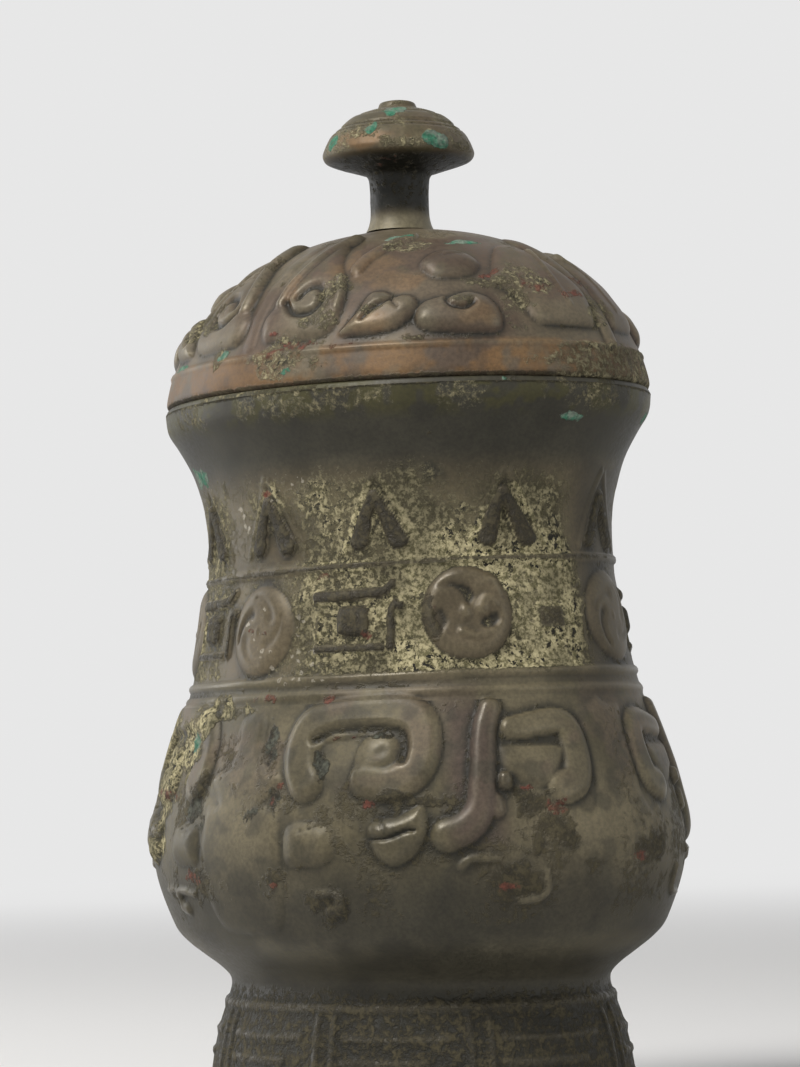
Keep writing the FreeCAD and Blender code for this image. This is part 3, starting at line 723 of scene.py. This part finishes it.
def vessel_layers(wall, places):
    """The vessel's patina with painted shade laid in it, and how rough its walls are besides the crust."""
    z = wall.z
    s = centred(wall.station, 0)
    layer = layers_for(places, OLIVE, TAUPE, 24, 3)
    medium = rough_noise(places, 8, 5)
    small = rough_noise(places, 3, 9, 3)
    # Painted shade goes in the hollows, deeper the further a point lies under the relief round it
    hollow = ramp(wall.hollow(16), 0.02, 0.32)
    worn = ramp(-wall.hollow(10), 0.02, 0.3)

    # Register and neck, where most of the crust lies
    worked = between(z, 75.4, 107 + 6 * medium, 1)
    disc = np.zeros(z.shape)
    for middle, height in WHORLS:
        oval = ellipse(0, height, WHORL_WIDE + 0.7, WHORL_HIGH + 0.4)
        disc = np.maximum(disc, wall.mask(centred(wall.station, middle), oval, 0.8))
    raised = ramp(wall.h, 0.30, 0.5) * worked
    side = between(s, 10, 88, 6) + 0.8 * between(s, -60, -20, 8) + 0.45 * between(s, -14, 10, 6)
    side = side + between(wall.station, 120, 200, 14) + 0.7 * between(wall.station, 230, 290, 12)
    top = 1 - ramp(z, 98 + 12 * medium, 112)
    bright = 0.72 + 0.28 * between(s, 38, 90, 10) * (1 - ramp(z, 94, 100))
    ground = np.clip(side + 1.4 * (medium - 0.5), 0, 1) * top * worked * (1 - raised) * (1 - 0.92 * disc)
    lines = between(wall.h, 0.15, 0.32, 0.04)
    crust = np.clip(bright + 0.4 * lines, 0, 1) * ground
    rim_of_disc = between(wall.hollow(2), 0.03, 0.3, 0.03) * worked * side

    # Tones from the lowest coat to the uppermost
    layer["tone"] = mixed(
        layer["tone"],
        # Painted shade: darker towards the bottom of the belly, where it faces down
        (SMOKE_AND_SHADE, 0.85 * (1 - ramp(z + 7 * medium, 40, 56))),
        (MAUVE, 0.7 * ramp(medium, 0.47, 0.6) * between(z, 58, 74, 4)),
        (PLUM, 0.8 * between(s, 49, 60, 3) * between(z, 48, 70, 2)),
        (BROWN, 0.8 * worked),
        (SOOT_AND_SHADE, 0.72 * raised * (1 - disc) * between(z, 77, 105, 1)),
        (STAIN, 0.8 * ground),
        (SOOT_AND_SHADE, 0.8 * np.clip(2 * wall.spots(NECK_STAIN), 0, 1)),
        # Darker towards the neck's top: partly its dark patina, partly painted shade under the lid's overhang
        (DUSK, 0.9 * ramp(z, 105, 112)),
        # Painted shade on the register's right side, from station 92 to 150
        (SMOKE_AND_SHADE, 0.7 * between(s, 92, 150, 6) * worked * (1 - 0.5 * disc)),
        (MOSS, 0.9 * ramp(z, 115.6, 118.6) * ramp(small, 0.42, 0.52)),
        (STONE, 0.2 * between(z, 30, 33.6, 1.5) * ramp(medium, 0.40, 0.65)),
        # Painted shade on the foot ring below the belly
        (SOOT_AND_SHADE, 0.8 * (1 - ramp(z, 22.5, 27))),
        (SMOKE_AND_SHADE, 0.5 * ramp(small, 0.5, 0.66) * between(z, 34, 72, 3)),
        # Painted shade in the hollows beside the relief, above the foot ring
        (SOOT_AND_SHADE, 0.85 * hollow * ramp(z, 26, 30)),
        (TAUPE, 0.35 * worn * (1 - 0.6 * raised * (1 - disc))),
    )
    spots = wall.spots(EDGE_CRUST)
    edge = np.clip(spots * 1.4 + 1.2 * (small - 0.5), 0, 0.85) * (1 - worked) * ramp(spots, 0, 0.3)
    rim = 0.42 * ramp(z, 115.8, 119) * ramp(medium, 0.40, 0.6)
    layer["crust"] = np.maximum.reduce([crust, edge, rim, 0.5 * rim_of_disc * (1 - raised)])
    rough = ramp(wall.spots(ROUGH_SPOTS) + 0.6 * (small - 0.5), 0.0, 0.8)
    stains = 0.5 * ramp(medium, 0.48, 0.62) * between(z, 36, 70, 3) * (1 - ramp(wall.h, 0.2, 0.6))
    feet = 0.75 * raised * (1 - disc) * between(z, 78, 105, 1)
    crusty_rim = 0.9 * ramp(wall.spots(WHORL_CRUST), 0, 0.4)
    # Painted shade on the foot ring, laid again as dark grime colour
    foot = 0.6 * (1 - ramp(z, 22, 27))
    # Real grime, rough spots and stains, with painted shade in the hollows, on the foot ring and at the top
    # of the lip, in the gap under the lid
    layer["dirt_and_shade"] = np.maximum.reduce([
        0.35 * hollow, 0.9 * rough, stains, feet, crusty_rim, foot, ramp(z, 121.0, LIP_Z)])
    layer["red"] = ramp(wall.spots(RED_SPOTS), 0, 0.8)
    layer["green"] = 0.8 * ramp(wall.spots(GREEN_SPOTS), 0, 0.7)
    layer["blue"] = 0.85 * ramp(wall.spots(BLUE_SPOTS), 0, 0.6) * (1 - ramp(wall.h, 0.5, 0.9))
    layer["speck"] = ramp(wall.spots(SPECK_SPOTS), 0, 0.6)
    layer["worn"] = worn * (1 - layer["crust"])
    return layer, rough


LID_CRUST = (
    (8, 128.6, 10, 2.6), (12, 126, 8, 2.6), (84, 125.6, 14, 2.2), (100, 126, 16, 3), (20, 133, 4, 3),
    (-12, 128.6, 3, 2.6), (64, 138.4, 5, 1.4), (56.4, 134.4, 2.6, 1.2), (34, 133.6, 3, 1.2),
    (44, 146, 6, 2), (76, 138, 7, 3), (96, 134, 3, 6), (44, 128.9, 4, 1), (70, 134, 4, 4),
    (22, 138, 3, 4), (170, 128, 20, 3), (230, 140, 14, 5), (280, 127, 18, 3), (330, 136, 12, 4),
)
LID_RED = (
    (76, 137, 4, 1.4), (88, 135.8, 4, 1.4), (96, 139.4, 5, 1.4), (10, 128.6, 9, 1.4), (6, 131, 3, 1),
    (25, 128.6, 4, 1), (66, 140, 4, 1), (180, 140, 6, 2), (260, 134, 5, 1.6),
)
LID_GREEN = (
    (12, 124.9, 1.7, 1.0), (-36, 128.6, 4, 1), (66, 146.6, 4, 0.8), (-11, 128.8, 2.4, 1.4),
    (40, 147.8, 4, 0.8), (200, 130, 3, 1),
)
TAN_SPOTS = (
    (30, 142, 9, 4), (38, 139, 6, 2), (32, 131.6, 7, 2.4), (8, 138, 3, 3), (62, 132, 4, 2.4),
    (190, 140, 10, 5), (230, 134, 8, 4),
)


def lid_layers(wall, places):
    z = wall.z
    layer = layers_for(places, LID_BROWN, LID_TAUPE, 12, 23)
    medium = rough_noise(places, 8, 25)
    small = rough_noise(places, 3, 29, 3)
    hollow = ramp(wall.hollow(14), 0.02, 0.4)
    worn = ramp(-wall.hollow(8), 0.03, 0.4)
    band = 1 - ramp(z, BAND_TOP_Z + 0.1, BAND_TOP_Z + 1.2)
    layer["tone"] = mixed(
        layer["tone"],
        (STONE, 0.3 * ramp(z, 137, 147) * ramp(medium, 0.46, 0.62)),
        (OLIVE, 0.5 * ramp(small, 0.52, 0.62) * ramp(z, 134, 140)),
        (TAN, 0.85 * ramp(wall.spots(TAN_SPOTS) + 0.7 * (medium - 0.5), 0.0, 0.6)),
        (BAND_TAN, 0.85 * band * ramp(small, 0.34, 0.56)),
        (STONE, 0.5 * worn),
        # Painted shade in the hollows beside the relief
        (SOOT_AND_SHADE, 0.92 * hollow),
    )
    right = between(centred(wall.station, 100), -22, 30, 8)
    spots = wall.spots(LID_CRUST)
    crust = np.clip(spots * 1.2 + (small - 0.5), 0, 0.54) * ramp(spots, 0, 0.3)
    layer["crust"] = np.maximum(crust, 0.62 * right * band)
    upper = 0.4 * ramp(medium, 0.5, 0.62) * ramp(z, 138, 142)
    # Grime high on the lid, with painted shade in its hollows and on its lowest edge, in the gap over the rim
    layer["dirt_and_shade"] = np.maximum.reduce([0.3 * hollow, 1 - ramp(z, 122.9, 123.5), upper])
    layer["red"] = 0.85 * ramp(wall.spots(LID_RED), 0, 0.8)
    layer["green"] = 0.9 * ramp(wall.spots(LID_GREEN), 0, 0.7)
    layer["worn"] = worn * (1 - layer["crust"])
    return layer


KNOB_GREEN = (
    (-15, 166, 2.3, 2.4), (43, 170.9, 1.9, 1.5), (73, 165.8, 3.6, 1.6), (22, 167.6, 1.7, 1.5),
    (150, 168, 4, 2), (230, 167, 3, 2),
)
KNOB_TAN = ((17, 165.8, 7, 2.2),)
KNOB_RED = ((36, 162.4, 3, 0.9),)


def knob_layers(wall, places):
    z = wall.z
    layer = layers_for(places, OLIVE, BROWN, 6, 61)
    small = rough_noise(places, 2.5, 67, 3)
    cap = ramp(z, 163.8, 164.6)
    # The knob's shaft, below the cap, is painted as the cap's shadow
    cap_shadow = ramp(z, 153.4, 156) * (1 - ramp(z, 163.2, 164.2))
    layer["tone"] = mixed(
        layer["tone"],
        (TAUPE, 0.8 * cap * ramp(small, 0.42, 0.6)),
        (BAND_TAN, 0.7 * ramp(wall.spots(KNOB_TAN), 0, 0.6)),
        # Painted light on the shaft's foot, with the cap's painted shadow on the shaft above it
        (STONE, 0.8 * (1 - ramp(z, 153, 155.5))),
        (SOOT_AND_SHADE, cap_shadow),
    )
    # Painted shade on the shaft and in the knob's grooves
    layer["dirt_and_shade"] = np.maximum(0.3 * cap_shadow, 0.6 * ramp(wall.hollow(3), 0.01, 0.08))
    layer["crust"] = 0.5 * cap * ramp(small, 0.42, 0.6)
    layer["green"] = ramp(wall.spots(KNOB_GREEN), 0, 0.5)
    layer["red"] = 0.5 * ramp(wall.spots(KNOB_RED), 0, 0.8)
    layer["worn"] = ramp(-wall.hollow(6), 0.01, 0.1)
    return layer


class Graph:
    """Short hand for the nodes of a material, or of the world."""

    def __init__(self, owner):
        owner.use_nodes = True
        self.owner = owner
        self.tree = owner.node_tree
        self.shader = self.tree.nodes.get("Principled BSDF")
        self.place = self.node("ShaderNodeTexCoord").outputs["Object"]

    def feed(self, node, inputs):
        """Link or set a node's inputs, by name or number."""
        for name, value in inputs.items():
            if isinstance(value, bpy.types.NodeSocket):
                self.tree.links.new(value, node.inputs[name])
            else:
                node.inputs[name].default_value = value

    def node(self, kind, inputs=None, **settings):
        made = self.tree.nodes.new(kind)
        for name, value in settings.items():
            setattr(made, name, value)
        self.feed(made, inputs or {})
        return made

    def attribute(self, name, output="Fac"):
        return self.node("ShaderNodeAttribute", attribute_name=name).outputs[output]

    def noise(self, scale, detail, roughness=0.55):
        inputs = {"Vector": self.place, "Scale": scale, "Detail": detail, "Roughness": roughness}
        return self.node("ShaderNodeTexNoise", inputs).outputs["Fac"]

    def cells(self, scale):
        made = self.node("ShaderNodeTexVoronoi", {"Vector": self.place, "Scale": scale})
        return made.outputs["Distance"], made.outputs["Color"]

    def math(self, operation, a, b):
        return self.node("ShaderNodeMath", {0: a, 1: b}, operation=operation).outputs[0]

    def times(self, a, b):
        return self.math("MULTIPLY", a, b)

    def step(self, value, low, high, start=0.0, stop=1.0):
        inputs = {"Value": value, "From Min": low, "From Max": high, "To Min": start, "To Max": stop}
        return self.node("ShaderNodeMapRange", inputs, interpolation_type="SMOOTHSTEP").outputs["Result"]

    def mix(self, share, a, b):
        a, b = ((*value, 1) if isinstance(value, tuple) else value for value in (a, b))
        return self.node("ShaderNodeMix", {0: share, 6: a, 7: b}, data_type="RGBA").outputs[2]

    def scaled(self, colour, factor):
        inputs = {0: colour, "Scale": factor}
        return self.node("ShaderNodeVectorMath", inputs, operation="SCALE").outputs["Vector"]

    def patch(self, name, wobble, share, low, high):
        """An attribute broken up by noise into ragged patches, with none where it is 0."""
        weight = self.attribute(name)
        broken = self.times(self.math("SUBTRACT", wobble, 0.5), share)
        broken = self.step(self.math("ADD", weight, broken), low, high)
        return self.times(broken, self.step(weight, 0.0, 0.25))


CREAM = (0.300, 0.266, 0.158)
LICHEN = (0.082, 0.074, 0.036)
PIT = (0.014, 0.013, 0.009)
GRIME_AND_SHADE = (0.022, 0.019, 0.012)
CUPRITE = (0.140, 0.044, 0.032)
RUST = (0.080, 0.038, 0.024)
MALACHITE = (0.040, 0.165, 0.100)
VERDIGRIS = (0.170, 0.215, 0.170)
SLATE = (0.072, 0.075, 0.058)
CHALK = (0.420, 0.385, 0.310)
METAL_SHARE = 0.2
SPECULAR = 0.32
BUMP_DEPTH = 0.0004


def bronze(name):
    """Bronze under the patina and painted shade laid on its wall. Noises are scaled in cells to the metre."""
    g = Graph(bpy.data.materials.new(name))
    broad = g.noise(110, 4)
    patchy = g.noise(430, 5, 0.62)
    grain = g.noise(1500, 4, 0.6)
    fleck = g.noise(950, 3, 0.7)
    sand = g.noise(1100, 5, 0.75)
    ragged = g.math("ADD", g.times(patchy, 0.35), g.times(sand, 0.65))
    spotty = g.math("ADD", g.times(fleck, 0.6), g.times(patchy, 0.4))
    crust = g.patch("crust", ragged, 2.8, 0.26, 0.80)
    # This layer holds real grime and painted shade
    dirt_and_shade = g.patch("dirt_and_shade", spotty, 3.0, 0.15, 0.95)
    red = g.patch("red", spotty, 4.0, 0.45, 1.05)
    green = g.patch("green", spotty, 2.6, 0.42, 0.72)
    blue = g.patch("blue", ragged, 3.4, 0.30, 0.95)
    pitted = g.times(g.step(fleck, 0.54, 0.60), g.step(broad, 0.40, 0.56))
    pitted = g.times(pitted, crust)
    colour = g.scaled(g.attribute("tone", "Color"), g.step(grain, 0.3, 0.7, 0.82, 1.18))
    colour = g.scaled(colour, g.step(broad, 0.32, 0.68, 0.82, 1.18))
    # Dark grime colour, which also paints the shade in hollows, on the foot ring and in the gap between lid
    # and rim
    dirt_and_shade_colour = g.mix(g.step(spotty, 0.44, 0.62), GRIME_AND_SHADE, OLIVE)
    colour = g.mix(g.times(dirt_and_shade, 0.85), colour, dirt_and_shade_colour)
    blue_colour = g.mix(g.step(patchy, 0.4, 0.6), GRIME_AND_SHADE, SLATE)
    colour = g.mix(blue, colour, g.scaled(blue_colour, g.step(grain, 0.35, 0.65, 0.5, 1.3)))
    crust_colour = g.mix(g.step(sand, 0.40, 0.60), LICHEN, CREAM)
    crust_colour = g.scaled(crust_colour, g.step(broad, 0.34, 0.62, 0.5, 1.1))
    crust_colour = g.scaled(crust_colour, g.step(g.attribute("crust"), 0.6, 0.95, 0.9, 1.5))
    colour = g.mix(crust, colour, crust_colour)
    colour = g.mix(pitted, colour, PIT)
    red_colour = g.mix(g.step(patchy, 0.4, 0.6), RUST, CUPRITE)
    red_colour = g.scaled(red_colour, g.step(grain, 0.3, 0.7, 0.6, 1.4))
    colour = g.mix(g.times(red, 0.8), colour, red_colour)
    green_colour = g.mix(g.step(patchy, 0.40, 0.62), MALACHITE, VERDIGRIS)
    colour = g.mix(green, colour, g.scaled(green_colour, g.step(grain, 0.3, 0.7, 0.6, 1.2)))
    distance, cell = g.cells(820)
    distance = g.math("ADD", distance, g.times(g.math("SUBTRACT", grain, 0.5), 1.1))
    ring = g.times(g.step(distance, 0.04, 0.14), g.step(distance, 0.40, 0.30))
    few = g.times(g.step(cell, 0.54, 0.60), g.patch("speck", patchy, 2.4, 0.40, 0.60))
    colour = g.mix(g.times(g.times(few, ring), 0.5), colour, CHALK)
    matter = g.math("MAXIMUM", g.math("MAXIMUM", crust, dirt_and_shade), g.math("MAXIMUM", red, green))
    matter = g.math("MAXIMUM", matter, blue)
    bare = g.math("SUBTRACT", 1.0, matter)
    polish = g.times(g.attribute("worn"), 0.16)
    gloss = g.math("SUBTRACT", g.step(matter, 0.0, 1.0, 0.48, 0.85), polish)
    height = g.times(grain, g.step(matter, 0.0, 1.0, 0.08, 0.8))
    height = g.math("ADD", height, g.times(patchy, g.step(matter, 0.0, 1.0, 0.10, 0.8)))
    height = g.math("ADD", height, g.times(crust, 0.15))
    height = g.math("SUBTRACT", height, g.times(pitted, 0.6))
    bump = g.node("ShaderNodeBump", {"Strength": 0.75, "Distance": BUMP_DEPTH, "Height": height})
    g.feed(g.shader, {
        "Base Color": colour,
        "Metallic": g.times(bare, METAL_SHARE),
        "Specular IOR Level": SPECULAR,
        "Roughness": g.math("ADD", gloss, g.step(grain, 0.3, 0.7, -0.04, 0.08)),
        "Normal": bump.outputs["Normal"],
    })
    return g.owner


vessel_bronze = bronze("vessel bronze")
lid_bronze = bronze("lid bronze")
knob_bronze = bronze("knob bronze")
# Body, slot, material and replaced node
VESSEL = ("vessel", "vessel_bronze", vessel_bronze, "vessel_body")
COVER = ("cover", "cover_bronze", lid_bronze, "cover")
CAP = ("cover", "knob_bronze", knob_bronze, "knob")

# Columns round each wall, and mm between the finest rows. The vessel's outer walls have the same
# columns, so that they meet point for point
OUTER_COLUMNS = 760
LID_COLUMNS = 700
FINE_COLUMNS = 320
INSIDE_COLUMNS = 240
BUTTON_COLUMNS = 96
FINE_ROWS = 0.42


def vessel_wall(name, low, high, spacing):
    wall = Wall(even_rows(OUTSIDE, spacing, low, high), OUTER_COLUMNS)
    belly_mask(wall)
    register_and_neck(wall)
    foot_work(wall)
    bare = wall.bare()
    wall.h += 0.22 * (rough_noise(bare, 12, 71, 2) - 0.5)
    layer, rough = vessel_layers(wall, bare)
    matter = np.maximum(layer["crust"], rough)
    wall.h += matter * 0.42 * (rough_noise(bare, 2.4, 77, 3) - 0.5)
    made = object_from(name, wall.places())
    paint(made, layer)
    dress(made, *VESSEL)


vessel_wall("foot_ring", 0.0, BELLY_SEAM_Z, 0.6)
vessel_wall("belly", BELLY_SEAM_Z, REGISTER_SEAM_Z, FINE_ROWS)
vessel_wall("register", REGISTER_SEAM_Z, NECK_SEAM_Z, FINE_ROWS)
vessel_wall("neck", NECK_SEAM_Z, LIP_Z, FINE_ROWS)


# Coat, strength, size and seed of its noise, and where in the noise it starts and is full
INSIDE_COATS = (
    ("crust", 0.5, 9, 43, 0.55, 0.7), ("green", 0.6, 7, 47, 0.6, 0.7), ("dirt_and_shade", 0.6, 6, 53, 0.5, 0.65),
)


def plain_wall(name, rows, columns, dressing, shade, ratio=RATIO):
    """A wall with no raised work, dull and stained as the inside of such a vessel is."""
    wall = Wall(np.array(rows), columns, ratio)
    places = wall.places()
    layer = layers_for(places, shade, SMOKE_AND_SHADE, 10, 41)
    for coat, share, size, seed, low, high in INSIDE_COATS:
        layer[coat] = share * ramp(rough_noise(places, size, seed), low, high)
    made = object_from(name, places)
    paint(made, layer)
    dress(made, *dressing)


foot_inside = np.vstack([FOOT_EDGE, even_rows(FOOT_SKIRT, 1.5)])[::-1]
plain_wall("mouth_rim", even_rows(MOUTH_RIM, 0.3), OUTER_COLUMNS, VESSEL, MOSS)
plain_wall("bowl_inside", even_rows(BOWL, 1.6), INSIDE_COLUMNS, VESSEL, OLIVE)
plain_wall("foot_inside", foot_inside, INSIDE_COLUMNS, VESSEL, OLIVE)

# Cover
lid = Wall(even_rows(LID, FINE_ROWS), LID_COLUMNS)
lid_mask(lid)
lid.h += 0.2 * (rough_noise(lid.bare(), 10, 83, 2) - 0.5)
lid_layer = lid_layers(lid, lid.bare())
lid_matter = np.maximum(lid_layer["crust"], 0.6 * lid_layer["dirt_and_shade"])
lid.h += lid_matter * 0.35 * (rough_noise(lid.bare(), 2.2, 87, 3) - 0.5)
lid_outside = object_from("lid_outside", lid.places())
paint(lid_outside, lid_layer)
dress(lid_outside, *COVER)
plain_wall("lid_inside", even_rows(LID_INSIDE, 1.0), FINE_COLUMNS, COVER, OLIVE)

# Knob
knob_wall = Wall(even_rows(KNOB, 0.28), FINE_COLUMNS, 1.0)
knob_wall.ring(169.5, 0.35, -0.25)
knob_wall.ring(168.7, 0.3, -0.2)
knob_wall.ring(171.6, 0.25, -0.25)
knob_wall.h += 0.16 * (rough_noise(knob_wall.bare(), 3.2, 91, 3) - 0.5)
knob_top = object_from("knob_top", knob_wall.places())
paint(knob_top, knob_layers(knob_wall, knob_wall.bare()))
dress(knob_top, *CAP)
plain_wall("knob_button", BUTTON, BUTTON_COLUMNS, CAP, OLIVE, 1.0)


# Stage, light and camera, in metres
AZIMUTH = math.radians(45)
VIEW_RIGHT = Vector((math.cos(AZIMUTH), math.sin(AZIMUTH), 0))
VIEW_AWAY = Vector((-math.sin(AZIMUTH), math.cos(AZIMUTH), 0))
BACKGROUND = 0.80
PAPER = 0.78
FLOOR_FRONT = -2.6
FLOOR_BACK = 1.0
SWEEP = 0.8
PAPER_TOP = 3.2
PAPER_HALF = 3.0
AIM_Z = 0.085


def seen(g):
    """1 for what the camera, or metal, sees, and 0 for what lights the vessel."""
    light_path = g.node("ShaderNodeLightPath")
    straight = g.math("MAXIMUM", light_path.outputs["Is Camera Ray"], light_path.outputs["Is Glossy Ray"])
    return g.math("MAXIMUM", straight, light_path.outputs["Is Transmission Ray"])


def paper():
    """Pale paper. Far from the vessel it is seen evenly bright, with no shadow or falling off."""
    g = Graph(bpy.data.materials.new("pale paper"))
    g.feed(g.shader, {"Base Color": (PAPER, PAPER, PAPER, 1), "Roughness": 0.9})
    bright = g.node("ShaderNodeEmission", {"Color": (BACKGROUND, BACKGROUND, BACKGROUND, 1)})
    distance = g.node("ShaderNodeVectorMath", {0: g.place}, operation="LENGTH")
    far = g.times(seen(g), g.step(distance.outputs["Value"], 0.3, 1.1))
    sockets = {0: far, 1: g.shader.outputs["BSDF"], 2: bright.outputs["Emission"]}
    blend = g.node("ShaderNodeMixShader", sockets)
    g.feed(g.tree.nodes["Material Output"], {"Surface": blend.outputs[0]})
    return g.owner


def backdrop():
    """A floor that sweeps up into a wall behind the vessel, seen from the camera's side."""
    run = [(FLOOR_FRONT, 0.0), (FLOOR_BACK, 0.0)]
    turns = np.radians(range(6, 91, 6))
    run += [(FLOOR_BACK + SWEEP * math.sin(a), SWEEP - SWEEP * math.cos(a)) for a in turns]
    run += [(FLOOR_BACK + SWEEP, PAPER_TOP)]
    mesh = bpy.data.meshes.new("backdrop")
    corners = [(side, along, up) for along, up in run for side in (-PAPER_HALF, PAPER_HALF)]
    faces = [(2 * i, 2 * i + 1, 2 * i + 3, 2 * i + 2) for i in range(len(run) - 1)]
    mesh.from_pydata(corners, [], faces)
    mesh.polygons.foreach_set("use_smooth", [True] * len(faces))
    made = bpy.data.objects.new("backdrop", mesh)
    made.rotation_euler = (0, 0, AZIMUTH)
    made.data.materials.append(paper())
    bpy.context.scene.collection.objects.link(made)


backdrop()


def softbox(name, side, back, up, size, power, tint=(1, 1, 1)):
    """An area lamp placed by the camera's right, away and up, aimed at the vessel."""
    lamp = bpy.data.lights.new(name, "AREA")
    lamp.shape = "RECTANGLE"
    lamp.size, lamp.size_y = size
    lamp.energy = power
    lamp.color = tint
    made = bpy.data.objects.new(name, lamp)
    made.location = VIEW_RIGHT * side + VIEW_AWAY * back + Vector((0, 0, up))
    aim = Vector((0, 0, AIM_Z)) - made.location
    made.rotation_euler = aim.to_track_quat("-Z", "Y").to_euler()
    bpy.context.scene.collection.objects.link(made)


softbox("key", -0.48, -0.42, 0.84, (0.36, 0.36), 9.4, (1.0, 0.975, 0.94))
softbox("fill", 0.8, -0.7, 0.35, (0.9, 0.9), 2.0)
softbox("rim", -0.7, 0.4, 0.3, (0.25, 0.6), 2)

WORLD_LIGHT = 0.26
world = bpy.data.worlds.new("world")
bpy.context.scene.world = world
sky = Graph(world)
strength = sky.step(seen(sky), 0.0, 1.0, WORLD_LIGHT, BACKGROUND)
sky.feed(sky.tree.nodes["Background"], {"Color": (1, 1, 1, 1), "Strength": strength})

LENS = 119.23
CAMERA_RIGHT = -0.00134
CAMERA_BACK = 0.6
CAMERA_UP = 0.06265
PITCH = math.radians(3.57)
LEAN = math.radians(1.42)
camera = bpy.data.cameras.new("camera")
camera.sensor_width = 36
camera.lens = LENS
camera.clip_end = 20
camera_object = bpy.data.objects.new("camera", camera)
forward = VIEW_AWAY * math.cos(PITCH) + Vector((0, 0, math.sin(PITCH)))
upward = Vector((0, 0, math.cos(PITCH))) - VIEW_AWAY * math.sin(PITCH)
image_right = VIEW_RIGHT * math.cos(LEAN) - upward * math.sin(LEAN)
image_up = VIEW_RIGHT * math.sin(LEAN) + upward * math.cos(LEAN)
turn = Matrix((image_right, image_up, -forward)).transposed()
stand = VIEW_RIGHT * CAMERA_RIGHT - VIEW_AWAY * CAMERA_BACK + Vector((0, 0, CAMERA_UP))
camera_object.matrix_world = Matrix.Translation(stand) @ turn.to_4x4()
bpy.context.scene.collection.objects.link(camera_object)
bpy.context.scene.camera = camera_object
bpy.context.scene.view_settings.view_transform = "Standard"
